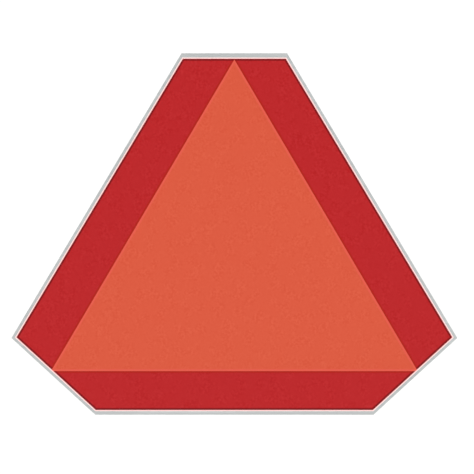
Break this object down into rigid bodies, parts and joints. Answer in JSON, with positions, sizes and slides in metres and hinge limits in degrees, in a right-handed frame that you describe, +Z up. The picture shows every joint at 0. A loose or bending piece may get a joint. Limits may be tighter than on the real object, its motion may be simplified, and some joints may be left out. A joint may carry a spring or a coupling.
{
  "type": "slow moving vehicle sign",
  "caption": "Flat six-sided aluminium sign plate faced with a fluorescent orange triangle inside dark red reflective strips.",
  "frame": {"origin": "middle of the plate's back face, halfway between its left and right corners and between its top and bottom edges", "axes": "+Z is up, the triangle's upward direction; +X is to the right for someone reading the sign; the coloured face looks along -Y and the back face along +Y"},
  "size_m": [0.438, 0.0015, 0.3556],
  "materials": {
    "aluminium": "bare mill finish sheet, satin, with sheared and deburred edges",
    "white_film": "white reflective sheeting, smooth",
    "orange_film": "fluorescent orange film, smooth, with a fine grain",
    "red_film": "dark red reflective film, smooth, with fine glass bead grain"
  },
  "bodies": {
    "root": {"backing_plate": "aluminium", "white_sheet": "white_film", "orange_triangle": "orange_film", "red_strip_left": "red_film", "red_strip_bottom": "red_film", "red_strip_right": "red_film"}
  },
  "joints": []
}
